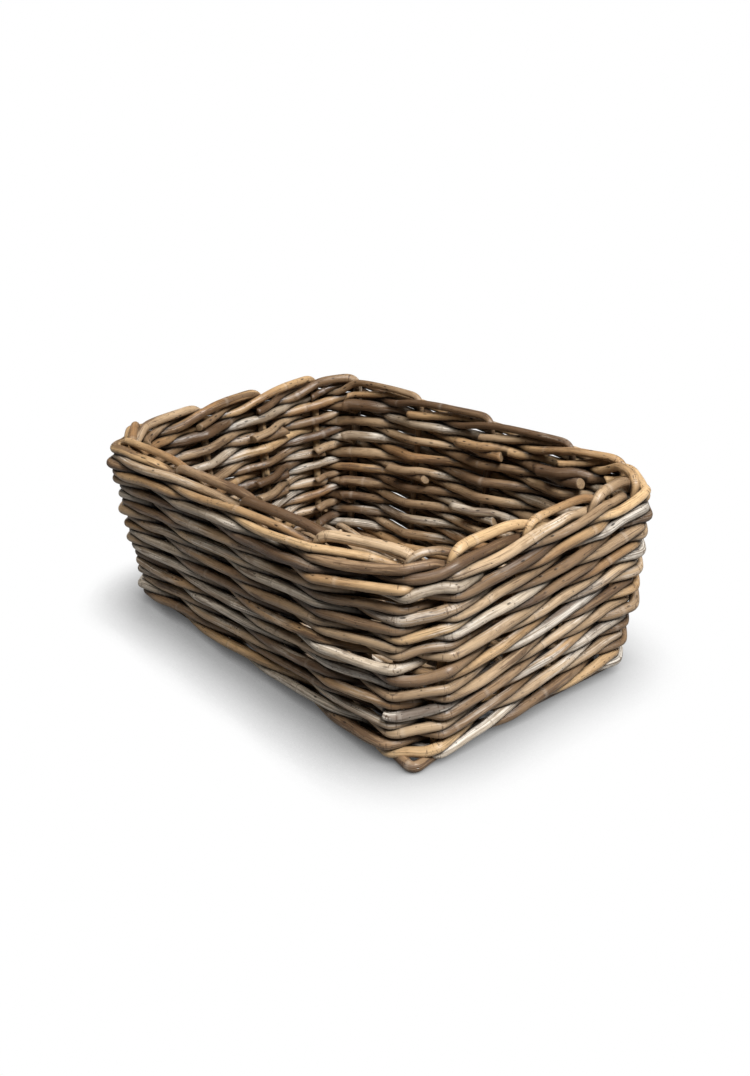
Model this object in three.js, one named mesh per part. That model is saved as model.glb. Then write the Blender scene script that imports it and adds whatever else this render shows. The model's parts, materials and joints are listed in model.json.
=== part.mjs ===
// An open rectangular storage basket, woven of whole round rattan rods.
//
// Eighteen stakes stand round a rectangle with cut corners. Nine rounds of three-rod wale are woven round
// them, and each stake is then bent down along the rim as one rod of a rolled border. The base is a frame
// rod under the stakes, with sticks across it, and rods woven to and fro round the sticks.
//
// X runs along the basket, Y across it and Z up, in millimetres. The origin is on the floor, under the
// middle. Round the walls a place is given by a stake number that grows counter-clockwise seen from above,
// by how far it lies outward of the stakes, and by its height.

import * as THREE from "three";

// Plan, measured on the line of the stakes
const baseLength = 458;
const baseWidth = 272;
const lengthSpread = 24; // what the walls gain in length from the floor to the rim
const widthSpread = 48; // what the walls gain in width from the floor to the rim
const rimCornerCut = 38; // at the rim, from the corner of the rectangle to each of its two stakes
const footCornerCut = 28; // the same at the floor
const longWallStakes = 3; // between the corner stakes
const shortWallStakes = 2; // between the corner stakes
const cornerStakes = 2; // on each wall, one at each end
const stakeCreep = 12; // how much each long wall stake in turn stands past its even place

// How the handmade walls stray from that rectangle
const nearCornerDraw = { x: 18, y: 29 }; // the top of the last front stake is drawn in this far
const nearFrontFoot = { x: 5, y: -3 }; // and its foot is moved this much, nearer to the corner
const nearRightFoot = { x: 2, y: -6 }; // and so is the foot of the first right stake
const rightStartLean = 22; // the first right stake leans this far along its wall
const rightEndLean = 8; // and the last one this far
const rightCreep = 10; // how much each right stake's top in turn stands past its even place

// Rods, by diameter
const stakeRod = 8.4;
const waleRod = 8.3;
const frameRod = 9.6;
const stickRod = 5.6;
const floorRod = 6.4;

// Walls
const rounds = 9;
const strandsInRound = 3;
const waleLayerGap = 0.8; // between strands that lie one over the other
const floatBulge = 3.6; // how far a strand stands out halfway between two stakes
const waleEndGap = 3; // from the end of a strand to the middle of the stake that it ends behind

// Border
const borderLayerGap = 1.6;
const borderBulge = 4.8;
const borderLean = 4.5; // how far a border rod leans in, halfway to the next stake
const borderTuck = 3; // how far out it still lies, halfway through its last pass inwards
const stumpBend = 9; // radius of the bend at the top of a stake
const borderDip = 7; // how far a border rod drops on its way behind the next stake
const tipRise = 3.5; // how far its end lies above the lowest layer of the border
const tipLength = 5; // how far its end reaches past the last stake
const tipGap = 0.4; // what its end adds to the clearance, because it comes in at a slant

// Base
const frameCut = 22; // from each corner of the frame back along its sides to where it turns
const frameTip = 8; // how far its near corner stands out past its sides instead, as a tip
const frameTipRun = 30; // from that corner back along each side to where the frame runs straight
const frameTipCut = 7; // how blunt the tip is
const floorLift = 0.2; // from the ground to the lowest rows of the floor
const footGap = 0.5; // under the slanting feet of the stakes
const baseWeavers = 3;
const floorRowGap = 0.7; // between neighbouring rows of the floor

// Clearances between rods that touch
const rodGap = 0.45;
const cornerGap = 1.8; // what is added where a rod turns a corner round a stake

// Sides of the rods
const wallSides = 5;
const frameSides = 6;
const floorSides = 4;

// Colours of the weathered rods
const honey = 0xbd9467;
const tan = 0xa08770;
const silver = 0xb5aca0;
const umber = 0x73604f;
const borderColours = [honey, umber, umber, tan, tan, honey, honey, tan, honey];
const waleColours = [honey, silver, umber, tan, tan, tan];
const baseColours = [tan];
const rodRoughness = 0.62;

// Heights
const frameHeight = (frameRod / 2) * Math.cos(Math.PI / frameSides);
const waleFloor = 2 * frameHeight + rodGap;
const walePitch = waleRod + waleLayerGap;
const waleTop = waleFloor + rounds * 2 * walePitch;
const borderStep = stakeRod + borderLayerGap;
const borderLow = waleTop + rodGap + stakeRod / 2;
const borderTop = borderLow + 2 * borderStep;
const overStick = (stickRod + floorRod) / 2 + rodGap;
const stickHeight = floorLift + floorRod / 2 + overStick;

// How far the rods that pass a stake lie from it
const waleOut = (stakeRod + waleRod) / 2 + rodGap;
const borderOut = stakeRod + rodGap;

// Half the rectangle of the stakes at a height
function halfPlan(height) {
  const share = height / borderTop;
  return {
    length: (baseLength + lengthSpread * share) / 2,
    width: (baseWidth + widthSpread * share) / 2,
  };
}

// From the corner of the rectangle to each of its two stakes, at a height
function cornerCut(height) {
  return footCornerCut + ((rimCornerCut - footCornerCut) * height) / borderTop;
}

// Where the stakes stand along a wall, from its first corner stake to its last, with so many between them
function alongWall(first, last, between, creep) {
  const step = (last - first) / (between + 1) + creep;
  const places = [];
  for (let i = 0; i <= between; i++) places.push(first + step * i);
  places.push(last);
  return places;
}

// The stakes in plan at a height, counter-clockwise from the left end of the front wall
function stakePlan(height) {
  const half = halfPlan(height);
  const risen = height / borderTop;
  const longEnd = half.length - cornerCut(height);
  const shortEnd = half.width - cornerCut(height);
  const rightStart = -shortEnd + rightStartLean * risen;
  const rightEnd = shortEnd + rightEndLean * risen;
  const long = alongWall(-longEnd, longEnd, longWallStakes, stakeCreep);
  const right = alongWall(rightStart, rightEnd, shortWallStakes, rightCreep * risen);
  const left = alongWall(-shortEnd, shortEnd, shortWallStakes, 0);
  const front = long.map((x) => new THREE.Vector3(x, -half.width, height));
  front[front.length - 1].x += nearCornerDraw.x * risen + nearFrontFoot.x * (1 - risen);
  front[front.length - 1].y += nearCornerDraw.y * risen + nearFrontFoot.y * (1 - risen);
  const rightWall = right.map((y) => new THREE.Vector3(half.length, y, height));
  rightWall[0].x += nearRightFoot.x * (1 - risen);
  rightWall[0].y += nearRightFoot.y * (1 - risen);
  return [
    ...front,
    ...rightWall,
    ...long.reverse().map((x) => new THREE.Vector3(x, half.width, height)),
    ...left.reverse().map((y) => new THREE.Vector3(-half.length, y, height)),
  ];
}

const stakeCount = stakePlan(0).length;

// Outward and level, square to the wall from one place to the next
function wallNormal(from, to) {
  return new THREE.Vector3(to.y - from.y, from.x - to.x, 0).normalize();
}

// A point of the wall: 'share' of the way from a stake to the next, 'out' from the stakes. At a stake that
// turns a corner the step is longer, so that the rod keeps its distance from both walls, and a little more.
function wallPoint(stake, share, out, height) {
  const plan = stakePlan(height);
  const at = plan[stake % stakeCount];
  const next = plan[(stake + 1) % stakeCount];
  const ahead = wallNormal(at, next);
  if (share > 0) return at.clone().lerp(next, share).addScaledVector(ahead, out);
  const behind = wallNormal(plan[(stake + stakeCount - 1) % stakeCount], at);
  const outward = ahead.clone().add(behind).divideScalar(1 + ahead.dot(behind));
  const corner = outward.length() > 1.001 ? Math.sign(out) * cornerGap : 0;
  return at.clone().addScaledVector(outward, out + corner);
}

// How far it is from a stake to the next at a height
function stakeSpacing(stake, height) {
  const plan = stakePlan(height);
  return plan[stake % stakeCount].distanceTo(plan[(stake + 1) % stakeCount]);
}

// A path that goes straight from point to point, with one step of the sweep for each stretch
class RodPath extends THREE.Curve {
  constructor(points) {
    super();
    this.points = points;
  }

  getPointAt(share) {
    return this.points[Math.round(share * (this.points.length - 1))].clone();
  }

  getTangentAt(share) {
    const at = Math.round(share * (this.points.length - 1));
    const middle = this.points[at];
    const before = this.points[Math.max(at - 1, 0)];
    const after = this.points[Math.min(at + 1, this.points.length - 1)];
    const arriving = middle.clone().sub(before).normalize();
    const leaving = after.clone().sub(middle).normalize();
    return arriving.add(leaving).normalize();
  }
}

// A rod of a few sides, swept along its points. On a level stretch one flat side faces the floor.
function rodMesh(name, points, diameter, sides, colour) {
  const section = [];
  for (let i = 0; i < sides; i++) {
    const turn = (2 * Math.PI * (i + 0.5)) / sides;
    section.push(new THREE.Vector2(Math.cos(turn), Math.sin(turn)).multiplyScalar(diameter / 2));
  }
  const geometry = new THREE.ExtrudeGeometry(new THREE.Shape(section), {
    steps: points.length - 1,
    extrudePath: new RodPath(points),
  });
  const material = new THREE.MeshStandardMaterial({
    color: colour,
    roughness: rodRoughness,
    metalness: 0,
  });
  const mesh = new THREE.Mesh(geometry, material);
  mesh.name = name;
  return mesh;
}

// Cuts a length off both ends of a path
function trimEnds(points, length) {
  const last = points.length - 1;
  points[0].lerp(points[1], length / points[0].distanceTo(points[1]));
  points[last].lerp(points[last - 1], length / points[last].distanceTo(points[last - 1]));
  return points;
}

// One strand of a round of wale. It turns about the line of the stakes as a strand of a rope does: behind
// one stake, out under its neighbours, up across two stakes, and in over its neighbours again. It goes once
// round the basket, and its two cut ends come together behind the stake where it started.
function waleStrand(round, strand) {
  const turn = [
    { out: -waleOut, rise: 0 },
    { out: 0, rise: -walePitch / 2 },
    { out: waleOut, rise: -walePitch / 2 },
    { out: waleOut + floatBulge, rise: 0 },
    { out: waleOut, rise: walePitch / 2 },
    { out: 0, rise: walePitch / 2 },
  ];
  const middle = waleFloor + (2 * round + 1) * walePitch;
  const first = strand + round;
  const points = [];
  for (let half = 0; half <= 2 * stakeCount; half++) {
    const { out, rise } = turn[half % turn.length];
    points.push(wallPoint(first + Math.floor(half / 2), (half % 2) / 2, out, middle + rise));
  }
  return trimEnds(points, waleEndGap);
}

// One stake, from its foot on the frame up the wall, and on as a rod of the border: bent over at the rim,
// behind the next stake, out low in front of the two after it, and in behind the fourth, where it is cut off.
function stakeRodPath(stake) {
  const run = stakeSpacing(stake, borderTop);
  const points = [wallPoint(stake, 0, 0, waleFloor + footGap)];
  const bendSteps = 3;
  for (let i = 0; i <= bendSteps; i++) {
    const turn = (i / bendSteps) * (Math.PI / 2);
    const share = (stumpBend * (1 - Math.cos(turn))) / run;
    const height = borderTop - stumpBend * (1 - Math.sin(turn));
    points.push(wallPoint(stake, share, -borderLean * 2 * share, height));
  }
  const middle = borderTop - borderStep;
  const tip = borderLow + tipRise;
  const tipShare = tipLength / stakeSpacing(stake + 4, tip);
  points.push(
    wallPoint(stake, 0.5, -borderLean, borderTop),
    wallPoint(stake + 1, 0, -borderOut, borderTop - borderDip),
    wallPoint(stake + 1, 0.5, 0, borderLow),
    wallPoint(stake + 2, 0, borderOut, borderLow),
    wallPoint(stake + 2, 0.5, borderOut + borderBulge, (borderLow + middle) / 2),
    wallPoint(stake + 3, 0, borderOut, middle),
    wallPoint(stake + 3, 0.5, borderTuck, middle),
    wallPoint(stake + 4, 0, -borderOut - tipGap, tip),
    wallPoint(stake + 4, tipShare, -borderOut - tipGap, tip),
  );
  return points;
}

// A corner of the frame, from the short side of the basket to the long one. Each side is 1 or -1.
function frameCorner(xSide, ySide) {
  const { length: x, width: y } = halfPlan(waleFloor);
  const cutCorner = [
    [x, y - frameCut],
    [x - frameCut, y],
  ];
  const tipCorner = [
    [x, y - frameTipRun],
    [x + frameTip, y + frameTip - frameTipCut],
    [x + frameTip - frameTipCut, y + frameTip],
    [x - frameTipRun, y],
  ];
  const corner = xSide > 0 && ySide < 0 ? tipCorner : cutCorner;
  return corner.map(([px, py]) => new THREE.Vector3(xSide * px, ySide * py, frameHeight));
}

// The frame of the base: one rod bent into a rectangle under the feet of the stakes. Its ends meet in the
// middle of the back.
function framePath() {
  const backMiddle = new THREE.Vector3(0, halfPlan(waleFloor).width, frameHeight);
  const points = [
    backMiddle,
    ...frameCorner(-1, 1).reverse(),
    ...frameCorner(-1, -1),
    ...frameCorner(1, -1).reverse(),
    ...frameCorner(1, 1),
    backMiddle.clone(),
  ];
  return trimEnds(points, rodGap / 2);
}

// A base stick spans the frame beside each stake of the back wall, on the side towards the middle
const backFirst = longWallStakes + shortWallStakes + 2 * cornerStakes;
const backLast = backFirst + longWallStakes + cornerStakes;
const backStakes = stakePlan(stickHeight).slice(backFirst, backLast).reverse();
const stickPlaces = backStakes.map(({ x }, i) => {
  const towardsMiddle = i < backStakes.length - 1 ? 1 : -1;
  return x + towardsMiddle * ((stakeRod + stickRod) / 2 + rodGap);
});

function stickPath(x) {
  const reach = halfPlan(waleFloor).width - frameRod / 2 - rodGap;
  return [new THREE.Vector3(x, -reach, stickHeight), new THREE.Vector3(x, reach, stickHeight)];
}

// The floor fills the base up to the inner side of the wale, in rows that run along the basket
const floorHalf = halfPlan(waleFloor);
const floorEdge = waleOut + waleRod / 2 + rodGap + floorRod / 2;
const rowSpan = 2 * (floorHalf.width - floorEdge);
const rowPitch = floorRod + floorRowGap;
const rowsForWeaver = Math.floor((Math.floor(rowSpan / rowPitch) + 1) / baseWeavers);
const rowCount = rowsForWeaver * baseWeavers;

// How far the rows reach from the middle, between one row and the next. By the corners they stop sooner.
function rowReach(y) {
  const cornerEdge = Math.SQRT2 * (waleRod / 2 + rodGap + floorRod / 2);
  const cornerSum = floorHalf.length + floorHalf.width - cornerCut(waleFloor) - cornerEdge;
  return Math.min(floorHalf.length - floorEdge, cornerSum - Math.abs(y) - rowPitch / 2);
}

// One rod of the floor: over one stick and under the next, and back beside itself round the end stick at the
// end of each row. Its two cut ends run on past the end sticks.
function floorPath(weaver) {
  const points = [];
  const turnIn = rowPitch / 2;
  for (let i = 0; i < rowsForWeaver; i++) {
    const row = weaver * rowsForWeaver + i;
    const y = (row - (rowCount - 1) / 2) * rowPitch;
    const way = row % 2 ? -1 : 1;
    const crossings = (way > 0 ? stickPlaces : stickPlaces.slice().reverse()).map((x, n) => {
      const side = (row + n) % 2 ? 1 : -1;
      return new THREE.Vector3(x, y, stickHeight + side * overStick);
    });
    const first = crossings[0];
    const last = crossings[crossings.length - 1];
    const before = -way * (rowReach(y - turnIn) - turnIn);
    const after = way * (rowReach(y + turnIn) - turnIn);
    const startsHere = i === 0;
    const endsHere = i === rowsForWeaver - 1;
    points.push(new THREE.Vector3(before, y, startsHere ? first.z : stickHeight));
    points.push(...crossings);
    points.push(new THREE.Vector3(after, y, endsHere ? last.z : stickHeight));
    if (!endsHere) points.push(new THREE.Vector3(after + way * turnIn, y + turnIn, stickHeight));
  }
  return points;
}

// The basket
const basket = new THREE.Group();

function addRod(name, points, diameter, sides, colours) {
  const colour = colours[basket.children.length % colours.length];
  basket.add(rodMesh(name, points, diameter, sides, colour));
}

const walls = [
  { wall: "front", stakes: longWallStakes + cornerStakes },
  { wall: "right", stakes: shortWallStakes + cornerStakes },
  { wall: "back", stakes: longWallStakes + cornerStakes },
  { wall: "left", stakes: shortWallStakes + cornerStakes },
];
let stakeNumber = 0;
for (const { wall, stakes } of walls) {
  for (let i = 1; i <= stakes; i++) {
    const name = `stake_${wall}_${i}`;
    addRod(name, stakeRodPath(stakeNumber), stakeRod, wallSides, borderColours);
    stakeNumber += 1;
  }
}

for (let round = 0; round < rounds; round++) {
  for (let strand = 0; strand < strandsInRound; strand++) {
    const name = `wale_${round + 1}_${"abc"[strand]}`;
    addRod(name, waleStrand(round, strand), waleRod, wallSides, waleColours);
  }
}

addRod("base_frame", framePath(), frameRod, frameSides, baseColours);
stickPlaces.forEach((x, i) => {
  addRod(`base_stick_${i + 1}`, stickPath(x), stickRod, frameSides, baseColours);
});
for (let i = 0; i < baseWeavers; i++) {
  addRod(`base_weaver_${i + 1}`, floorPath(i), floorRod, floorSides, baseColours);
}

export default basket;
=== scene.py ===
# %% [markdown]
# # A storage basket woven of whole rattan rods
#
# The basket is made of 54 rods and nothing else: stakes in the wall, strands woven round them, and a small
# base. Its look comes from how round rods lean on each other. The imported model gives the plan, the names
# and the place of every rod. This lesson lays a finer rod along each of them, settles the rods against each
# other, sweeps them into meshes, and stains them as old rattan.

# %% Load the frame
import json

import bpy
import numpy as np
from mathutils import Matrix, Vector


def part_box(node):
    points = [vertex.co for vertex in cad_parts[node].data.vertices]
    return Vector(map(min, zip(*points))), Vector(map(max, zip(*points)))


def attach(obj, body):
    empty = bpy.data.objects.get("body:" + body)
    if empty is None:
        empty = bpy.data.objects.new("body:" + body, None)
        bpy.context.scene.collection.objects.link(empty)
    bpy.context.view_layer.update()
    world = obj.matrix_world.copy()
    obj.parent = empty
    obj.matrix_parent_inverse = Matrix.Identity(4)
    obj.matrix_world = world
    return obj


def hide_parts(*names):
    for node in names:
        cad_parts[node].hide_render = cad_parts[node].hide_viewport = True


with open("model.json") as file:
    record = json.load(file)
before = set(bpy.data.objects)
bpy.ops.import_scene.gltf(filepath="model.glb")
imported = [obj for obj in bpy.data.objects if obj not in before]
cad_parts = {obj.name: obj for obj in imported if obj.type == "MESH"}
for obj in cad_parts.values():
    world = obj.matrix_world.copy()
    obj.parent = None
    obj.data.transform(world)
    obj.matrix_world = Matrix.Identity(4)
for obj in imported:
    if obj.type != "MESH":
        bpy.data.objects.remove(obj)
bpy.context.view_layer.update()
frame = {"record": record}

slot_of = {row["node"]: row["material_slot"] for row in frame["record"]["subparts"]}

# %% [markdown]
# ## The plan of the stakes
#
# A weaver sets the stakes first, and they decide everything after them. Eighteen of them stand round a
# rectangle whose corners are cut, and the walls lean out a little towards the rim. Sizes are in millimetres
# here, and become metres only when a mesh is made.

# %% Driving sizes, in millimetres
MM = 0.001
BASE_LENGTH = 458
BASE_WIDTH = 272
LENGTH_SPREAD = 24  # what the walls gain in length from the floor to the rim
WIDTH_SPREAD = 48  # what the walls gain in width
RIM_CORNER_CUT = 38  # at the rim, from the corner of the rectangle to each of its two stakes
FOOT_CORNER_CUT = 28  # the same at the floor
LONG_WALL_STAKES = 3  # between the corner stakes
SHORT_WALL_STAKES = 2
STAKE_CREEP = 12  # how much each long wall stake in turn stands past its even place
NEAR_CORNER_DRAW = np.array([18, 29])  # how far the rim draws in the top of the last front stake
NEAR_FRONT_FOOT = np.array([5, -3])  # and its foot is moved this much, nearer to the corner
NEAR_RIGHT_FOOT = np.array([2, -6])  # and so is the foot of the first right stake
RIGHT_START_LEAN = 22  # how far the first right stake leans along its wall
RIGHT_END_LEAN = 8
RIGHT_CREEP = 10
STAKE = 8.6
STRAND = 10.35  # by the far corner
THIN_STRAND = 9.2  # by the near one
BORDER_ROD = 9.2
FRAME_ROD = 9.8
STICK = 5.6
FLOOR_ROD = 6.7
ROUNDS = 9
STRANDS_IN_ROUND = 3
PITCH = 9.2  # from one layer of the wall to the next
WALL_FOOT = 8.7  # the height at which the wale starts
BORDER_LOW = 175.8
BORDER_STEP = 10.0
BORDER_TOP = BORDER_LOW + 2 * BORDER_STEP
print("at the rim the stakes span", BASE_LENGTH + LENGTH_SPREAD, "by", BASE_WIDTH + WIDTH_SPREAD, "mm")


# %% Where the stakes stand
def along_wall(first, last, between, creep):
    """Even steps from the first corner stake, each longer by the creep, and then the last corner stake."""
    step = (last - first) / (between + 1) + creep
    return np.append(first + step * np.arange(between + 1), last)


def corner_cut(height):
    """From the corner of the rectangle to each of its stakes: it grows evenly from the floor to the rim."""
    return FOOT_CORNER_CUT + (RIM_CORNER_CUT - FOOT_CORNER_CUT) * height / BORDER_TOP


def stake_plan(height):
    """The stakes in plan at a height, counter-clockwise from the left end of the front wall."""
    risen = height / BORDER_TOP
    half_length = (BASE_LENGTH + LENGTH_SPREAD * risen) / 2
    half_width = (BASE_WIDTH + WIDTH_SPREAD * risen) / 2
    long_end = half_length - corner_cut(height)
    short_end = half_width - corner_cut(height)
    right_start = -short_end + RIGHT_START_LEAN * risen
    right_end = short_end + RIGHT_END_LEAN * risen
    long = along_wall(-long_end, long_end, LONG_WALL_STAKES, STAKE_CREEP)
    right = along_wall(right_start, right_end, SHORT_WALL_STAKES, RIGHT_CREEP * risen)
    left = along_wall(-short_end, short_end, SHORT_WALL_STAKES, 0)
    walls = [(long, -half_width), (half_length, right), (long[::-1], half_width), (-half_length, left[::-1])]
    plan = np.concatenate([np.stack(np.broadcast_arrays(x, y), axis=1) for x, y in walls])
    plan[len(long) - 1] += NEAR_CORNER_DRAW * risen + NEAR_FRONT_FOOT * (1 - risen)
    plan[len(long)] += NEAR_RIGHT_FOOT * (1 - risen)
    return plan


FLOOR_PLAN = stake_plan(0)
RIM_PLAN = stake_plan(BORDER_TOP)
STAKES = len(RIM_PLAN)
SPACING = np.linalg.norm(np.roll(RIM_PLAN, -1, axis=0) - RIM_PLAN, axis=1)
print(STAKES, "stakes, spaced", np.round(SPACING).astype(int).tolist(), "mm along the rim")

# %% [markdown]
# ## Wall places
#
# It is easiest to weave on a flat wall and to bend it round the basket afterwards. A place on the wall is a
# stake number that may have a fraction, how far outward of the stakes it lies, and its height. At a cut
# corner the outward step slides along the wall, so that a rod keeps its distance from both walls and turns
# on the mitre between them.

# %% From a wall place to the room
CORNER_REACH = 24  # how far from a stake the slide begins


def one_long(vectors):
    """The same directions, each with length one."""
    return vectors / np.linalg.norm(vectors, axis=1)[:, None]


def wall_frame(at, height):
    """Places on the line of the stakes, and the outward step of one millimetre at each of them."""
    stake = np.floor(at + 1e-9).astype(int)
    around = (stake[:, None] + [-1, 0, 1, 2]) % STAKES
    plan = FLOOR_PLAN[around] + (RIM_PLAN - FLOOR_PLAN)[around] * (height / BORDER_TOP)[:, None, None]
    run = np.diff(plan, axis=1)
    length = np.linalg.norm(run, axis=2)
    along = run / length[..., None]
    # The tangent of half the turn at the stake before and at the one after, from the turn's sine and cosine.
    sine = along[:, :-1, 0] * along[:, 1:, 1] - along[:, :-1, 1] * along[:, 1:, 0]
    half_turn = sine / (1 + (along[:, :-1] * along[:, 1:]).sum(axis=2))
    gone = (at - stake) * length[:, 1]
    left = length[:, 1] - gone
    slide = np.clip(1 - left / CORNER_REACH, 0, 1) * half_turn[:, 1]
    slide = slide - np.clip(1 - gone / CORNER_REACH, 0, 1) * half_turn[:, 0]
    outward = np.stack([along[:, 1, 1], -along[:, 1, 0]], axis=1)
    return plan[:, 1] + along[:, 1] * gone[:, None], outward + along[:, 1] * slide[:, None]


def wall_point(at, out, height):
    """Plan at that height, plus the outward step times how far out."""
    plan, step = wall_frame(at, height)
    return np.column_stack([plan + step * out[:, None], height])


def wall_outward(at, height):
    """The level direction, one long, that points out of the basket."""
    return np.column_stack([one_long(wall_frame(at, height)[1]), np.zeros(len(at))])


front_middle = wall_point(np.array([LONG_WALL_STAKES / 2 + 0.5]), np.zeros(1), np.array([BORDER_TOP / 2]))
print("the middle of the front wall lies at", np.round(front_middle[0]).astype(int).tolist(), "mm")


# %% [markdown]
# ## Rods on a grid
#
# Every rod of the wall is first a row of points, one for each sixteenth of the way between two stakes. Each
# point knows how far out it lies, how high, and how thick the rod is there. Rattan is a climbing palm and no
# two stems are alike, so each rod drifts, tapers and swells a little by sines with random phases. The
# random numbers come from one seeded generator, so the basket is the same every time.

# %% Drift, and a rod
STEPS = 16
GRID = STAKES * STEPS
GRID_GAP = np.repeat(SPACING / STEPS, STEPS)
ROD_SPREAD = 0.07  # how much rods differ in thickness, and how much each one tapers
ROD_WAVES = (260, 0.16)  # length and size of the slow swelling of a rod
rng = np.random.default_rng(1807)
print(GRID, "grid lines round the basket,", round(GRID_GAP.mean(), 1), "mm apart on average")


def bell(x):
    """exp(-x^2): 1 in the middle, and next to nothing from 2 on."""
    return np.exp(-(x**2))


def drift(along, length, amount, waves=3):
    """A sum of sines along a rod: each is half as long and half as high as the last, with a random phase."""
    halving = 2.0 ** np.arange(waves)
    lengths = length / halving * rng.uniform(0.8, 1.25, waves)
    phases = rng.uniform(0, 2 * np.pi, waves)
    return amount * (np.sin(2 * np.pi * along[:, None] / lengths + phases) / halving).sum(axis=1)


def rod(piece, grid, out, height, thickness):
    """A rod of the wall: how far out and how high it lies on its grid lines, and a radius that varies."""
    along = np.concatenate([[0], np.cumsum(GRID_GAP[grid[:-1] % GRID])])
    taper = 1 + rng.uniform(-ROD_SPREAD, ROD_SPREAD) * (along / along[-1] - 0.5) * 2
    size = thickness * rng.normal(1, ROD_SPREAD) * taper + drift(along, *ROD_WAVES)
    return {"piece": piece, "grid": grid, "out": out, "height": height, "radius": size / 2, "tails": (0, 0)}


# %% [markdown]
# ## Three-rod wale
#
# The walls are wale: three strands go round together, and each passes in front of two stakes and behind the
# third. Seen from its end a strand turns as the strand of a rope does: it comes out low, under its
# neighbours, climbs across two stakes, and goes in over them. Cane is stiff, so it runs straight between the
# stakes and bends at them: a short list of places says where. Each strand goes once round the basket. Its
# ends cross behind a stake and stick a little way into the basket, where they were cut, and most strands
# were pieced once more on the way. No two floats lie alike, least of all by the near corner.

# %% The strands
WALE_OUT = (STAKE + STRAND) / 2 + 0.1
WALE_LIFT = 1.3  # how far above the middle of its round a strand lies
CLIMB = 4.9  # half of what a strand rises and falls between two stakes
WALE_TURN = np.array([
    # twelfths of the turn, how far out, how high: 1 is the outside of a stake, and the climb
    [0, -1.0, 0.0],
    [2, 0.3, -0.95],
    [4, 1.0, -0.8],
    [8, 1.0, 0.8],
    [10, 0.3, 0.95],
    [12, -1.0, 0.0],
])
SWAY = 1.8  # how far the layers wave up and down at half the height of the wall
NEAR_CORNER = 4.5  # half way between the last front stake and the first right one
FAR_CORNER = 13.5


def wale_turn(phase):
    """How far out a strand lies and how high, read from the list by its share of a turn."""
    out, rise = (np.interp(phase % 1 * 12, WALE_TURN[:, 0], column) for column in WALE_TURN.T[1:])
    return WALE_OUT * out, CLIMB * rise + WALE_LIFT


def sway(at, middle):
    """How a layer waves: two sines round the basket that shift with the height and fade at floor and rim."""
    turned = 2 * np.pi * at / STAKES
    fade = np.sin(np.pi * (middle - WALL_FOOT) / (2 * ROUNDS * PITCH))
    waves = np.sin(2 * turned + middle / 90 + 0.6) + 0.6 * np.sin(5 * turned - middle / 80 + 2.1)
    return SWAY * fade * waves


# %% How the floats differ
BULGE_SHARE = 0.03  # of the way between two stakes, how far a float stands out
BULGE_SPREAD = 1.1
LOOSE = {3: 1.2, 4: 2.2, 8: 3.6, 17: 4.0}  # from these stakes floats loop out round a corner: the spread
LEAST_LOOSE = 0.3  # and the least, as a share of that
RIDE_SPREAD = 1.0  # how far a float lies above or below its place
NEAR_UNEVEN = 1.7  # by the near corner that is multiplied by this
FAR_UNEVEN = 0.7
OUT_WAVES = (210, 0.45)  # length and size of a strand's slow waves
HEIGHT_WAVES = (170, 0.8)
NEAR_SAG = 6  # how far the lowest strands dip at the near corner, where the frame leaves the wall
NEAR_SAG_TOP = 80  # the dip fades up to this height
NEAR_SAG_REACH = 1.1  # and within about this many stakes
THICK_SPOT = 12.55  # the strands are thicker in the back wall's last span, which would gape otherwise
THICK_SPOT_REACH = 0.5
THICK_SPOT_GAIN = 0.8


def free_strand(at, middle, first):
    """How far out a strand lies, how high, how thick and how uneven it is, before its joints are made."""
    phase = (at - first) / STRANDS_IN_ROUND
    out, rise = wale_turn(phase)
    # A float is the stretch across two stakes. Each bulges and rides a little more or less than the next.
    number = np.floor(phase + 1e-9).astype(int) + 1
    floats = np.arange(number.max() + 1)
    before = (first + (floats - 1) * STRANDS_IN_ROUND + 1) % STAKES
    bulge = BULGE_SHARE * SPACING[before] + rng.normal(0, BULGE_SPREAD, len(floats))
    loose = np.array([LOOSE.get(stake, 0) for stake in before])
    bulge = bulge + loose * (LEAST_LOOSE + np.abs(rng.normal(0, 1, len(floats))))
    ride = rng.normal(0, RIDE_SPREAD, len(floats))
    window = np.sin(np.pi * phase) ** 2
    far = np.abs(np.cos(np.pi * (at - FAR_CORNER) / STAKES))  # 1 at the far corner, and 0 at the near one
    uneven = NEAR_UNEVEN + (FAR_UNEVEN - NEAR_UNEVEN) * far
    out = out + bulge[number] * window
    height = middle + rise + ride[number] * window * uneven + sway(at, middle)
    near = bell((at % STAKES - NEAR_CORNER) / NEAR_SAG_REACH)
    height = height - NEAR_SAG * near * np.clip(1 - middle / NEAR_SAG_TOP, 0, 1)
    thick = THIN_STRAND + (STRAND - THIN_STRAND) * far
    thick = thick + THICK_SPOT_GAIN * bell((at % STAKES - THICK_SPOT) / THICK_SPOT_REACH)
    return out, height, thick, uneven


# %% Joints, and a whole rod
JOINT_TAIL = 25  # how far a cut end runs on past the stake that it crosses behind
CORNER_TAIL = 9  # the same at the stakes of a corner, where it would stick out
CORNER_STAKES = np.cumsum([0] + [LONG_WALL_STAKES + 1, 1, SHORT_WALL_STAKES + 1, 1] * 2)
TAIL_SLOPE = 0.06  # how much a tail leans into the basket
# At a joint an end is moved this far out and up, and the move fades over the third number
NEW_BEHIND = (0, -2.4, 26)
OLD_BEHIND = (-7.8, 2.4, 26)
NEW_OVER = (1.5, 0.5, 16)
NEW_UNDER = (-5.0, -5.0, 16)
OLD_OVER = (0.8, 1.0, 20)
OLD_UNDER = (-6.0, -3.0, 20)
# Strands that were pieced on the outside: where, and whether the new rod lies over the old one
OUTER_JOINTS = {"wale_9_b": (5.3, False), "wale_3_b": (3.95, True), "wale_7_a": (13.1, False)}


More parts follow.
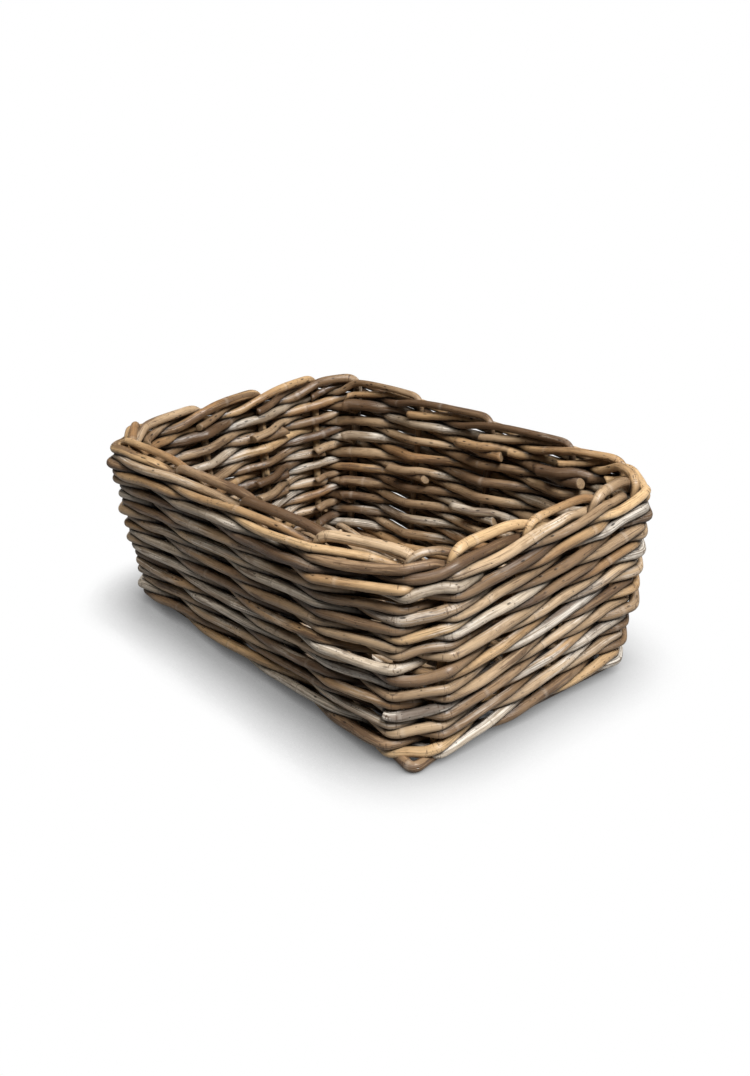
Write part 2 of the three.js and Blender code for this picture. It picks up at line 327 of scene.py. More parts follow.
def wale_rod(piece, middle, first, start, end, new_over):
    """One rod of a strand, from just before one joint to just after the next."""
    inner_start = start == int(start)
    inner_end = end == int(end)
    tails = [CORNER_TAIL if place % STAKES in CORNER_STAKES else JOINT_TAIL for place in (start, end)]
    head = round(tails[0] / GRID_GAP[int(start * STEPS - 1) % GRID]) * inner_start
    tail = round(tails[1] / GRID_GAP[int(end * STEPS) % GRID]) * inner_end
    grid = np.arange(int(start * STEPS) - head, int(end * STEPS) + tail + 1)
    at = grid / STEPS
    out, height, thick, uneven = free_strand(at, middle, first)
    # Behind a stake the old rod lies above the new one and over it, towards the middle of the basket.
    new_move = NEW_BEHIND if inner_start else (NEW_OVER if new_over else NEW_UNDER)
    old_move = OLD_BEHIND if inner_end else (OLD_UNDER if new_over else OLD_OVER)
    gone = (at - (start if inner_start else at[0])) * SPACING[int(start) % STAKES]
    left = ((end if inner_end else at[-1]) - at) * SPACING[int(end - inner_end) % STAKES]
    for away, (outward, upward, fade) in ((gone, new_move), (left, old_move)):
        near = bell(np.clip(away, 0, None) / fade)
        out = np.where(away < 0, -WALE_OUT + TAIL_SLOPE * away, out) + outward * near
        height = height + upward * near
    along = at * SPACING.mean()
    out = out + drift(along, *OUT_WAVES)
    height = height + drift(along, *HEIGHT_WAVES) * uneven
    return rod(piece, grid, out, height, thick) | {"tails": (head, tail)}


# %% All the strands
SECOND_JOINT_CHANCE = 0.8
SECOND_JOINT_SPREAD = 1.7  # in stakes, round the far corner
rods = []
for round_index in range(ROUNDS):
    for strand in range(STRANDS_IN_ROUND):
        first = strand + round_index
        name = f"wale_{round_index + 1}_{'abc'[strand]}"
        joints = [first, first + STAKES]
        # Most strands were pieced by the far corner too, behind the stake where the next rod was at hand.
        target = rng.normal(FAR_CORNER, SECOND_JOINT_SPREAD)
        outer, new_over = OUTER_JOINTS.get(name, (None, False))
        if outer is not None:
            joints.insert(1, outer + STAKES * (outer < first))
        elif rng.random() < SECOND_JOINT_CHANCE:
            joints.insert(1, first + STRANDS_IN_ROUND * round((target - first) / STRANDS_IN_ROUND))
        middle = WALL_FOOT + (2 * round_index + 1) * PITCH
        rods += [wale_rod(name, middle, first, *pair, new_over) for pair in zip(joints, joints[1:])]
print(len(rods), "rods make the", ROUNDS * STRANDS_IN_ROUND, "strands of the wale")

# %% [markdown]
# ## The rolled border
#
# When the wall is high enough, each stake is bent down to the right and becomes a rod of the rim. It goes
# behind the next stake, comes out low, passes in front of two more, and goes in behind the fourth. So four
# rods lie side by side all round the rim, each one layer above the last. The route is a short list of
# places, and a Catmull-Rom curve, the smooth curve that goes through all its points, joins them.

# %% The border rods
BORDER_OUT = (STAKE + BORDER_ROD) / 2
BORDER_MIDDLE = BORDER_TOP - BORDER_STEP
BORDER_ROUTE = np.array([
    # stakes from its own, how far out, height
    [0.0, 0.0, BORDER_TOP + 0.5],
    [0.5, -4.5, BORDER_TOP],
    [1.0, -BORDER_OUT, BORDER_TOP - 3.5],
    [1.5, 0.0, BORDER_LOW],
    [2.0, BORDER_OUT, BORDER_LOW],
    [2.5, BORDER_OUT + 4.5, (BORDER_LOW + BORDER_MIDDLE) / 2],
    [3.0, BORDER_OUT, BORDER_MIDDLE],
    [3.5, 3.0, BORDER_MIDDLE],
    [4.0, -BORDER_OUT - 0.4, BORDER_LOW + 1.5],
    [4.5, -BORDER_OUT - 3, BORDER_LOW - 1],
])
BORDER_SPAN = 4  # stakes
BORDER_TIP = 7  # how far its end reaches past the last of them
BORDER_OUT_WAVES = (230, 0.5)
BORDER_HEIGHT_WAVES = (190, 0.5)
STUMP_BEND = 13  # radius of the bend at the top of a stake


def through(rows, place):
    """Catmull-Rom: the smooth curve through the rows, at row numbers that may have a fraction."""
    i = np.clip(np.floor(place).astype(int), 0, len(rows) - 2)
    t = (place - i)[:, None]
    before, here, there, after = (rows[np.clip(i + k, 0, len(rows) - 1)] for k in (-1, 0, 1, 2))
    bend = 2 * before - 5 * here + 4 * there - after
    swing = 3 * here - before - 3 * there + after
    return 0.5 * (2 * here + (there - before) * t + bend * t**2 + swing * t**3)


def border_rod(piece, stake):
    """One stake's stretch along the rim, from where its bend ends."""
    start = int(np.ceil(STUMP_BEND / GRID_GAP[stake * STEPS]))
    last = (stake + BORDER_SPAN) * STEPS
    tip = int(np.ceil(BORDER_TIP / GRID_GAP[last % GRID]))
    grid = np.arange(stake * STEPS + start, last + tip + 1)
    gone = grid / STEPS - stake
    _, out, height = through(BORDER_ROUTE, gone / BORDER_ROUTE[1, 0]).T
    along = gone * SPACING.mean()
    out = out + drift(along, *BORDER_OUT_WAVES)
    height = height + drift(along, *BORDER_HEIGHT_WAVES)
    return rod(piece, grid, out, height, BORDER_ROD)


stake_names = [
    f"stake_{wall}_{i + 1}"
    for wall, between in zip(("front", "right", "back", "left"), (LONG_WALL_STAKES, SHORT_WALL_STAKES) * 2)
    for i in range(between + 2)
]
border = [border_rod(name, stake) for stake, name in enumerate(stake_names)]
rods += border
print(len(border), "border rods,", sum(len(r["grid"]) for r in rods), "points in all")

# %% [markdown]
# ## Settle the rods against each other
#
# The formulas put the rods where a drawing would, but real rods press on each other until they all fit. So
# the points that share a grid line are treated as discs in one slice through the wall. Each turn of the loop
# straightens every rod a little, because cane is stiff, draws it back towards its drawn place, and pushes
# apart the discs that overlap. Stakes, the base frame and the ground don't give way.

# %% Settle
SQUEEZE = 0.955  # rods flatten a little where they press on each other
STIFFNESS = 0.3
PULL = 0.05
PUSH = 0.6
TURNS = 110
GROUND_ROOM = 1.14  # knots swell a rod, so its middle stays this many radii above the ground


def overlaps(place, table, need):
    """For each pair of discs in a slice: the step between them, its length, and how much they overlap."""
    seats = place[table]
    apart = seats[:, :, None] - seats[:, None, :]
    gap = np.sqrt((apart**2).sum(axis=3)) + 1e-6
    return apart, gap, np.clip(need - gap, 0, None)


def settle(rods):
    """Moves the points of all rods in their slices until they hardly overlap, and tells what is left."""
    ends = np.cumsum([0] + [len(r["grid"]) for r in rods])
    grid = np.concatenate([r["grid"] for r in rods]) % GRID
    place = np.column_stack([np.concatenate([r[key] for r in rods]) for key in ("out", "height")])
    radius = np.concatenate([r["radius"] for r in rods])
    drawn = place.copy()
    inner = np.ones(len(grid), bool)
    inner[ends[:-1]] = False
    inner[ends[1:] - 1] = False
    middle = np.flatnonzero(inner)
    # Row g of this table lists the points on grid line g, and -1 fills what is left of the row.
    order = np.argsort(grid, kind="stable")
    counts = np.bincount(grid, minlength=GRID)
    seat = np.arange(len(grid)) - np.repeat(np.cumsum(counts) - counts, counts)
    table = np.full((GRID, counts.max()), -1)
    table[grid[order], seat] = order
    filled = table >= 0
    pair = filled[:, :, None] & filled[:, None, :] & ~np.eye(counts.max(), dtype=bool)
    need = np.where(pair, SQUEEZE * (radius[table][:, :, None] + radius[table][:, None, :]), 0)
    # A stake is a wall within its reach, on the side of it where the rod was drawn.
    past = np.abs(np.round(grid / STEPS) * STEPS - grid) * GRID_GAP[grid]
    keep_off = np.sqrt(np.clip((STAKE / 2 + radius) ** 2 - past**2, 0, None))
    side = np.where(drawn[:, 0] < 0, -1, 1)
    for _ in range(TURNS):
        bent = 0.5 * (place[middle - 1] + place[middle + 1]) - place[middle]
        place[middle] += STIFFNESS * bent
        place += PULL * (drawn - place)
        apart, gap, overlap = overlaps(place, table, need)
        push = (apart * (0.5 * overlap / gap)[..., None]).sum(axis=2)
        place[table[filled]] += PUSH * push[filled]
        on_frame = np.column_stack([place[:, 0], place[:, 1] - FRAME_ROD / 2])
        gap = np.sqrt((on_frame**2).sum(axis=1)) + 1e-6
        sunk = np.clip(FRAME_ROD / 2 + radius - gap, 0, None)
        place += on_frame * (sunk / gap)[:, None]
        place[:, 0] = np.where(place[:, 0] * side < keep_off, side * keep_off, place[:, 0])
        place[:, 1] = np.maximum(place[:, 1], GROUND_ROOM * radius + 0.1)
    for r, start, end in zip(rods, ends, ends[1:]):
        r["out"] = place[start:end, 0]
        r["height"] = place[start:end, 1]
    return table, place, radius, overlaps(place, table, need)[2].max(axis=2)[filled]


def keep_tails(r, drawn):
    """A cut end springs straight, so it keeps its drawn shape and only moves with where it is held."""
    head, tail = r["tails"]
    for key in ("out", "height"):
        settled = r[key]
        settled[:head] = drawn[key][:head] + settled[head] - drawn[key][head]
        last = len(settled) - 1 - tail
        settled[last + 1 :] = drawn[key][last + 1 :] + settled[last] - drawn[key][last]


drawn_rods = [{key: r[key].copy() for key in ("out", "height")} for r in rods]
slices, settled, settled_radius, overlap = settle(rods)
for r, drawn in zip(rods, drawn_rods):
    keep_tails(r, drawn)
print("overlap left: %.2f mm at worst, %.3f mm on average" % (overlap.max(), overlap.mean()))

# %% [markdown]
# ## From a row of points to a rod
#
# A rod is a profile carried along a path, so its surface is a function of two parameters: the distance along
# the rod, and the angle round it. The path is drawn through the settled points, resampled at an even step,
# and softened, which turns each corner into a short bend. A rattan stem isn't a cylinder: it is a little
# oval, it swells where a leaf grew, and its ends were cut with shears at a slant.

# %% Paths
RING_GAP = 2.6
FINENESS = 5  # points between two rows, before the path is measured off
SOFTENINGS = 3
STAKE_SOFTENINGS = 4


def distances(points):
    """How far along its path each point lies."""
    return np.concatenate([[0], np.cumsum(np.linalg.norm(np.diff(points, axis=0), axis=1))])


def even_path(rows, gap, softenings):
    """Rows whose first three columns are a place in millimetres, redrawn at an even gap and softened.

    A softening moves each place to a quarter of the one before, half of itself and a quarter of the next."""
    fine = through(rows, np.linspace(0, len(rows) - 1, FINENESS * (len(rows) - 1) + 1))
    along = distances(fine[:, :3])
    places = np.linspace(0, along[-1], int(round(along[-1] / gap)) + 1)
    path = np.column_stack([np.interp(places, along, column) for column in fine.T])
    for _ in range(softenings):
        path[1:-1, :3] = (path[:-2, :3] + 2 * path[1:-1, :3] + path[2:, :3]) / 4
    return path


# %% [markdown]
# What the stain needs to know about a place on a rod goes into the mesh as attributes. `grain` is the place
# in the rod's own space: across it, and along it. `knot` is the distance to the nearest node ring, the
# painted-shade attribute is how close the next rod is, from which the stain paints shade between rods,
# `bend` is how sharply the rod turns, and `cut` marks the cut ends. Every rod also has numbers of its own
# that drift along it: how dark, how silvered, and how much bark it kept.

# %% The surface of a rod
KNOT_GAPS = (70, 300)  # the least and the most from one node ring to the next
KNOTS = 22
KNOT_SWELL = 0.035
KNOT_REACH = 2.4
COLLAR_SWELL = 0.02  # above a ring the stem is thicker, too
COLLAR_AT = 7
COLLAR_REACH = 6
OVAL = 0.03
OVAL_WAVES = (400, 1.5)  # length and size of the slow turning of the oval, in radians
LOBES = 0.012
LOBE_WAVES = (150, 1.5)
MOST_SLANT = 0.8  # slope of a cut end, each way
CUT_DOME = 0.5
CUT_RINGS = np.array([0.02, 0.5, 0.9])  # rings of a cut face, as shares of the radius
GRAIN_START = 9000  # each rod starts somewhere else in the grain
SHARP_BEND = 0.04  # one over the radius of a bend that counts in full


def rod_surface(path, radius, look, sides):
    """Ring place = centre + radius (1 + oval + swelling) (cos a * outward + sin a * up), with cut faces.

    path has columns x, y, z, the outward direction, and the wall place: stake number, out and height."""
    middle = path[:, :3]
    ahead = one_long(np.gradient(middle, axis=0))
    outward = one_long(path[:, 3:6] - ahead * (path[:, 3:6] * ahead).sum(axis=1)[:, None])
    up = np.cross(outward, ahead)
    along = distances(middle)
    angle = np.arange(sides) * 2 * np.pi / sides
    knots = np.cumsum(rng.uniform(*KNOT_GAPS, KNOTS)) - rng.uniform(0, KNOT_GAPS[1])
    away = along[:, None] - knots
    knot = away[np.arange(len(along)), np.abs(away).argmin(axis=1)]
    swell = 1 + KNOT_SWELL * bell(knot / KNOT_REACH) + COLLAR_SWELL * bell((knot - COLLAR_AT) / COLLAR_REACH)
    turn = np.linalg.norm(np.gradient(ahead, axis=0), axis=1) / np.gradient(along)
    oval = 1 + OVAL * np.cos(2 * angle + drift(along, *OVAL_WAVES)[:, None] + rng.uniform(0, 6))
    oval = oval + LOBES * np.cos(3 * angle + drift(along, *LOBE_WAVES)[:, None])
    size = (radius * swell)[:, None] * oval
    # A cut face is a few more rings at each end, drawn in. It slants, and it is a low dome.
    shares = np.concatenate([CUT_RINGS, np.ones(len(along)), CUT_RINGS[::-1]])
    row = np.clip(np.arange(len(shares)) - len(CUT_RINGS), 0, len(along) - 1)
    cut = (np.arange(len(shares)) != row + len(CUT_RINGS)).astype(float)
    across = size[row] * shares[:, None]
    sideways = across * np.cos(angle)
    upward = across * np.sin(angle)
    slant = rng.uniform(-MOST_SLANT, MOST_SLANT, (2, 2))
    ends = np.zeros((len(shares), 2))
    ends[: len(CUT_RINGS) + 1] = slant[0]
    ends[-len(CUT_RINGS) - 1 :] = slant[1]
    dome = cut * CUT_DOME * (1 - shares**2) * np.where(row > 0, 1, -1)
    lean = sideways * ends[:, :1] + upward * ends[:, 1:] + dome[:, None]
    ring = middle[row][:, None] + sideways[..., None] * outward[row][:, None]
    ring = ring + upward[..., None] * up[row][:, None] + lean[..., None] * ahead[row][:, None]
    grain = np.stack([sideways, upward, np.broadcast_to(along[row][:, None], across.shape)], axis=2)
    grain = grain + [0, 0, rng.uniform(0, GRAIN_START)]
    level = np.clip(1 - np.abs(ahead[row][:, 2:]), 0, 1)
    numbers = wear(path[row], along[row], np.sin(angle) * level, look) | {
        "knot": knot[row][:, None] * MM,
        "gap_shade": paint_gap_shade(path[row], sideways, upward),
        "bend": np.clip(turn[row][:, None] / SHARP_BEND, 0, 1),
        "cut": cut[:, None],
    }
    values = {key: np.broadcast_to(value, across.shape) for key, value in numbers.items()}
    return ring * MM, {"grain": grain * MM} | values


# %% Wear, painted top light, and painted shade
TONE_WAVES = (420, 0.16)  # length and size
SILVER_WAVES = (330, 0.16)
BARK_WAVES = (240, 0.12)
# Painted top light: the upper sides of rods are made more silver, so paler, as if lit from above.
PAINTED_TOP_LIGHT = 0.12
INSIDE_DEPTH = 8  # from the line of the stakes to where a rod counts as inside in full
# Painted shade inside the basket: rods there are made darker and less silver.
INSIDE_SHADE = 0.45
INSIDE_SHADE_SILVER = -0.35
GAP_SHADE_REACH = 2.8
MOST_GAP_SHADE = 1.6
OWN_REACH = 2.5  # a disc this near to the middle of a rod is its own


def wear(path, along, sky, look):
    """How dark, silvered and barky each spot is, with painted top light on upper sides and painted shade
    inside the basket.
    """
    inside = np.clip(-path[:, 7:8] / INSIDE_DEPTH, 0, 1) * (path[0, 6] >= 0)
    tone = look["tone"] + drift(along, *TONE_WAVES)[:, None] + INSIDE_SHADE * inside
    silver = look["silver"] + drift(along, *SILVER_WAVES)[:, None]
    silver = silver + PAINTED_TOP_LIGHT * sky + INSIDE_SHADE_SILVER * inside
    bark = look["bark"] + drift(along, *BARK_WAVES)[:, None]
    return {"tone": tone, "silver": silver, "bark": bark}


# Painted shade between rods: the nearer other rods come to a spot, the darker the stain makes it.
def paint_gap_shade(path, sideways, upward):
    """How near other rods come to each spot: the sum of exp(-gap / GAP_SHADE_REACH) over its slice's discs."""
    if path[0, 6] < 0:
        return np.zeros((1, 1))
    seats = slices[np.round(path[:, 6] * STEPS).astype(int) % GRID]
    there = settled[seats]
    own = np.linalg.norm(there - path[:, None, 7:9], axis=2) < OWN_REACH
    spot = np.stack([path[:, 7:8] + sideways, path[:, 8:9] + upward], axis=2)
    gap = np.linalg.norm(spot[:, :, None] - there[:, None], axis=3) - settled_radius[seats][:, None]
    near = np.exp(-np.clip(gap, 0, None) / GAP_SHADE_REACH)
    near = np.where(((seats < 0) | own)[:, None], 0, near)
    return np.clip(near.sum(axis=2), 0, MOST_GAP_SHADE)


# %% Rings to a mesh
def make_piece(name, surfaces):
    """One smooth mesh of closed rods, with the attributes of their points."""
    places = []
    faces = []
    first = 0
    for ring, _ in surfaces:
        corner = first + np.arange(ring[..., 0].size).reshape(ring.shape[:2])
        # The first and the last ring are poles: all their corners become their first one, in their middle.
        for end in (0, -1):
            ring[end] = ring[end].mean(axis=0)
            corner[end] = corner[end, 0]
        beside = np.roll(corner, -1, axis=1)
        faces.append(np.stack([corner[:-1], corner[1:], beside[1:], beside[:-1]], axis=2).reshape(-1, 4))
        places.append(ring.reshape(-1, 3))
        first += corner.size
    places = np.concatenate(places)
    faces = np.concatenate(faces)
    used, renumbered = np.unique(faces, return_inverse=True)
    faces = renumbered.reshape(-1, 4)
    # At a pole two corners of a quad are one point, so it is a triangle.
    same = faces == np.roll(faces, -1, axis=1)
    corners = faces[~same]
    sizes = 4 - same.sum(axis=1)
    mesh = bpy.data.meshes.new(name)
    mesh.vertices.add(len(used))
    mesh.vertices.foreach_set("co", places[used].ravel())
    mesh.loops.add(len(corners))
    mesh.loops.foreach_set("vertex_index", corners.astype(np.int32))
    mesh.polygons.add(len(sizes))
    mesh.polygons.foreach_set("loop_start", np.concatenate([[0], np.cumsum(sizes)[:-1]]).astype(np.int32))
    mesh.polygons.foreach_set("use_smooth", np.ones(len(sizes), bool))
    for key in surfaces[0][1]:
        values = np.concatenate([v[key].reshape(-1, 3 if key == "grain" else 1) for _, v in surfaces])[used]
        kind = ("FLOAT_VECTOR", "vector") if key == "grain" else ("FLOAT", "value")
        mesh.attributes.new(key, kind[0], "POINT").data.foreach_set(kind[1], values.ravel())
    mesh.update(calc_edges=True)
    piece = bpy.data.objects.new(name, mesh)
    bpy.context.scene.collection.objects.link(piece)
    return piece


# %% [markdown]
# ## Shader sums written as Python
#
# A stain is mostly arithmetic on masks. Wrapping a socket in a small class with `+`, `-` and `*` keeps that
# arithmetic readable, and one `add` method makes every other node.

# %% A value and a finish
class Value:
    """A socket of a shader graph that can be reckoned with."""

    def __init__(self, finish, socket):
        self.finish = finish
        self.socket = socket

    def math(self, operation, *others):
        return self.finish.add("Math", dict(enumerate([self, *others])), operation=operation)

    def __add__(self, other):
        return self.math("ADD", other)

    def __mul__(self, other):
        return self.math("MULTIPLY", other)

    def __sub__(self, other):
        return self.math("SUBTRACT", other)

    def __rsub__(self, other):
        return (self * -1.0) + other

    def __truediv__(self, other):
        return self.math("DIVIDE", other)

    __radd__ = __add__
    __rmul__ = __mul__

    def clamp(self):
        return self.math("MAXIMUM", 0.0).math("MINIMUM", 1.0)

    def edge(self, low, high):
        """0 below low, 1 above high, and a smooth step between."""
        inputs = {"Value": self, "From Min": low, "From Max": high}
        return self.finish.add("MapRange", inputs, interpolation_type="SMOOTHSTEP")

    def bell(self, width):
        """exp(-(x / width)^2)"""
        scaled = self / width
        return (scaled * scaled * -1.0).math("EXPONENT")


class Finish:
    """A new material or world, and the nodes added to it."""

    def __init__(self, owner):
        owner.use_nodes = True
        self.owner = owner
        self.tree = owner.node_tree
        self.tree.nodes.clear()

    def add(self, kind, inputs, output=0, **settings):
        """Adds a shader node of this kind, and gives one of its outputs."""
        node = self.tree.nodes.new("ShaderNode" + kind)
        for key, value in settings.items():
            setattr(node, key, value)
        for key, value in inputs.items():
            if isinstance(value, Value):
                self.tree.links.new(value.socket, node.inputs[key])
            else:
                node.inputs[key].default_value = value
        return Value(self, node.outputs[output]) if node.outputs else None

    def attribute(self, name, output="Fac"):
        return self.add("Attribute", {}, output, attribute_name=name)

    def mix(self, share, first, second, blend="MIX"):
        inputs = {0: share, 6: first, 7: second}
        return self.add("Mix", inputs, 2, data_type="RGBA", blend_type=blend)

    def scaled(self, vector, scale):
        return self.add("VectorMath", {0: vector, 1: scale}, operation="MULTIPLY")

    def noise(self, vector, scale, detail, roughness):
        scaled = self.scaled(vector, scale)
        inputs = {"Vector": scaled, "Scale": 1.0, "Detail": detail, "Roughness": roughness}
        return self.add("TexNoise", inputs)


def srgb(red, green, blue):
    """A colour as a screen shows it, 0 to 255, as the light values that Blender reckons with."""
    share = np.array([red, green, blue]) / 255
    light = np.where(share <= 0.04045, share / 12.92, ((share + 0.055) / 1.055) ** 2.4)
    return (*light.tolist(), 1.0)


# %% [markdown]
# ## Old rattan
#
# Peeled rattan has a satin skin of fine fibres that run along the rod. Years outdoors turn it silver, brown
# bark stays on in flakes, and pits and leaf scars go dark. The stain also paints light and shade: the upper
# side of each rod paler, rods inside the basket darker, and dark shade where rods touch.
# A pattern's scale is how many of its cells lie in a metre, twice across the rod and then along it. Most
# have far more across than along, which stretches them into streaks. The same masks drive the colour, the
# roughness and the bump.

# %% The stain
SILVER = srgb(232, 223, 210)
ASH = srgb(146, 136, 123)
BARK = srgb(84, 62, 44)
# Near-black for pits and fibre lines, and for the painted shade between rods.
DIRT_AND_SHADE = srgb(32, 22, 14)
PITH = srgb(164, 138, 103)
STREAKS = (800, 800, 14)
FIBRES = (2300, 2300, 26)
PATCHES = (140, 140, 16)
CLOUDS = (45, 45, 11)
MOTTLES = (260, 260, 90)
PITS = (300, 300, 110)
SPECKS = (520, 520, 330)
CRACKS = (130, 130, 900)
PORES = (3000, 3000, 3000)
SCAR_WANDER = 0.004  # metres
SCAR_WIDTH = 0.0006
COLLAR = 0.0028
COLLAR_WIDTH = 0.002


def dots(f, grain, scale, size, chance, channel):
    """Dots in those cells of a Voronoi pattern whose random colour is high enough in one channel."""
    inputs = {"Vector": f.scaled(grain, scale), "Scale": 1.0}
    away = f.add("TexVoronoi", inputs)
    colour = f.add("TexVoronoi", inputs, "Color")
    luck = f.add("SeparateColor", {0: colour}, channel)
    return away.edge(*size) * luck.edge(*chance)


def rattan(name, light, deep):
    """Skin colour from drift and streaks, with silver, bark, scars, pits, painted shade between rods and the
    cut ends over it.
    """
    f = Finish(bpy.data.materials.new(name))
    grain = f.attribute("grain", "Vector")
    streak = f.noise(grain, STREAKS, 3.0, 0.6)
    fibre = f.noise(grain, FIBRES, 2.0, 0.6)
    patch = f.noise(grain, PATCHES, 3.0, 0.6)
    cloud = f.noise(grain, CLOUDS, 2.0, 0.5)
    # The skin and its silver
    tone = (f.attribute("tone") + (cloud - 0.5) * 1.6 + (streak - 0.5) * 0.7).clamp()
    weather = (f.attribute("silver") + (patch - 0.5) + (streak - 0.5) * 0.8).edge(0.35, 0.85)
    colour = f.mix(weather, f.mix(tone, light, deep), f.mix(streak.edge(0.36, 0.62), ASH, SILVER))
    # Mottles, hairlines and fibres
    mottle = f.noise(grain, MOTTLES, 3.0, 0.65).edge(0.5, 0.66)
    colour = f.mix(mottle * 0.4, colour, f.mix(tone, deep, BARK))
    hairline = streak.edge(0.43, 0.36)
    colour = f.mix(hairline * 0.5, colour, BARK)
    lines = fibre.edge(0.44, 0.6)
    colour = f.mix((1.0 - lines) * 0.2, colour, DIRT_AND_SHADE)
    # Flakes of bark, and the scar and the paler collar at each node ring
    flake = (f.attribute("bark") + (patch - 0.5) * 1.7 + (streak - 0.5) * 1.1).edge(0.5, 0.62)
    colour = f.mix(flake * 0.75, colour, BARK)
    knot = f.attribute("knot")
    scar = (knot + (patch - 0.5) * SCAR_WANDER).bell(SCAR_WIDTH) * streak.edge(0.46, 0.56)
    colour = f.mix((knot - COLLAR).bell(COLLAR_WIDTH) * 0.12, colour, SILVER)
    colour = f.mix(scar * 0.7, colour, BARK)
    # Pits and specks, and cracks across the rod where it turns sharply
    pit = dots(f, grain, PITS, (0.34, 0.18), (0.74, 0.77), 0) * cloud.edge(0.4, 0.52)
    speck = dots(f, grain, SPECKS, (0.36, 0.2), (0.78, 0.8), 1) * patch.edge(0.47, 0.57)
    pit = (pit + speck).clamp()
    colour = f.mix(pit * 0.85, colour, DIRT_AND_SHADE)
    crack = f.noise(grain, CRACKS, 2.0, 0.5).edge(0.6, 0.66) * f.attribute("bend").edge(0.3, 0.9)
    colour = f.mix(crack * 0.75, colour, BARK)
    # Painted shade between the rods, and the cut ends
    colour = f.mix(f.attribute("gap_shade").edge(0.15, 1.0) * 0.96, colour, DIRT_AND_SHADE, "MULTIPLY")
    cut = f.attribute("cut")
    pores = f.noise(grain, PORES, 1.0, 0.5)
    colour = f.mix(cut, colour, f.mix(pores.edge(0.3, 0.7), BARK, PITH))
    height = streak * 0.5 + lines * 0.25 - pit * 1.6 + flake * 0.5 - hairline * 0.4 - scar * 0.8
    relief = {"Strength": 0.5, "Distance": 0.0005, "Height": height - crack * 0.8 + cut * pores}
    bump = f.add("Bump", relief)
    rough = (0.31 + weather * 0.2 + flake * 0.15 + (streak - 0.5) * 0.25 + cut * 0.3).clamp()
    skin = {"Base Color": colour, "Roughness": rough, "Normal": bump, "IOR": 1.46}
    shader = f.add("BsdfPrincipled", skin)
    f.add("OutputMaterial", {"Surface": shader})
    return f.owner


# %% The four stains
stains = {
    "honey_rattan": rattan("honey rattan", srgb(213, 180, 136), srgb(152, 118, 83)),
    "tan_rattan": rattan("tan rattan", srgb(194, 167, 134), srgb(134, 108, 81)),
    "silver_rattan": rattan("silver rattan", srgb(206, 190, 168), srgb(150, 132, 110)),
    "umber_rattan": rattan("umber rattan", srgb(160, 132, 102), srgb(102, 79, 58)),
}
print("stains:", ", ".join(stains))


# %% [markdown]
# ## Sweep the strands and the stakes
#
# Each rod gets its own numbers for the stain, drawn from the ranges of its slot. A stake is the same rod as
# its stretch of the border: it comes straight up from the frame, bends over at the rim in a quarter of a
# circle, and goes on along the settled points.

# %% One look for each rod
SIDES = 18
LOOKS = {
    # the middle of the range of tone, silver and bark
    "honey_rattan": (0.35, 0.14, 0.16),
    "tan_rattan": (0.4, 0.32, 0.26),
    "silver_rattan": (0.4, 0.62, 0.24),
    "umber_rattan": (0.5, 0.2, 0.4),
}
LOOK_SPREAD = {"tone": 0.25, "silver": 0.15, "bark": 0.1}


def look_for(name):
    """A rod's own tone, silver and bark, drawn from the ranges of its slot."""
    middles = LOOKS[slot_of[name]]
    return {key: rng.normal(middle, spread) for middle, (key, spread) in zip(middles, LOOK_SPREAD.items())}


def finish_piece(name, surfaces):
    """Makes the piece, stains it by its slot, and lets it stand for the CAD rod of that name."""
    piece = make_piece(name + "_rod", surfaces)
    slot = slot_of[name]
    piece.data.materials.append(stains[slot])
    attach(piece, "root")
    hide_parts(name)
    return piece


def wall_rod(at, out, height, radius, softenings, name):
    """The surface of a rod that follows wall places."""
    rows = np.column_stack([wall_point(at, out, height), wall_outward(at, height), at, out, height, radius])
    path = even_path(rows, RING_GAP, softenings)
    path[:, 6] %= STAKES
    return rod_surface(path[:, :9], path[:, 9], look_for(name), SIDES)


# %% The wale
for name in sorted({r["piece"] for r in rods if r["piece"].startswith("wale")}):
    finish_piece(name, [
        wall_rod(r["grid"] / STEPS, r["out"], r["height"], r["radius"], SOFTENINGS, name)
        for r in rods
        if r["piece"] == name
    ])
print("swept the strands")

# %% The stakes with their border rods
BEND_POINTS = 6
STAKE_FOOT = WALL_FOOT + 0.5
STAKE_GAP = 12  # between the points of its straight part
STRAIGHT_END = 8  # which ends this far below the bend
FOOT_SHARE = 0.93  # how thick its foot is, as a share of its top
for stake, r in enumerate(border):
    bend = np.linspace(0, np.pi / 2, BEND_POINTS)[:-1]
    stump_top = r["height"][0]
    straight = np.arange(STAKE_FOOT, stump_top - STUMP_BEND - STRAIGHT_END, STAKE_GAP)
    rise = np.append(straight, stump_top - STUMP_BEND * (1 - np.sin(bend)))
    sideways = np.append(np.zeros(len(rise) - len(bend)), STUMP_BEND * (1 - np.cos(bend)))
    at = np.append(stake + sideways / SPACING[stake], r["grid"] / STEPS)
    out = np.append(r["out"][0] * sideways / STUMP_BEND, r["out"])
    height = np.append(rise, r["height"])
    radius = np.append(r["radius"][0] * np.linspace(FOOT_SHARE, 1, len(rise)), r["radius"])
    name = stake_names[stake]
    finish_piece(name, [wall_rod(at, out, height, radius, STAKE_SOFTENINGS, name)])
print("swept", len(border), "stakes with their border rods")

# %% [markdown]
# ## The base
#
# The frame is the lowest rod: it lies under the feet of the stakes, and its corners are turned more sharply
# than the wall, so they peep out as tips. Sticks span it, and the floor is rods woven to and fro round them.

# %% The base frame
FRAME_CUT = 22  # from its corners back along its sides to where it turns
FRAME_TIP = 8  # how far its near corner stands out past its sides instead, as a tip
FRAME_TIP_RUN = 44  # how far from that corner its sides begin to turn out
FRAME_TIP_CUT = 4
FRAME_LIFT = 0.5  # room for its knots over the ground
FRAME_GAP = 5  # between its points
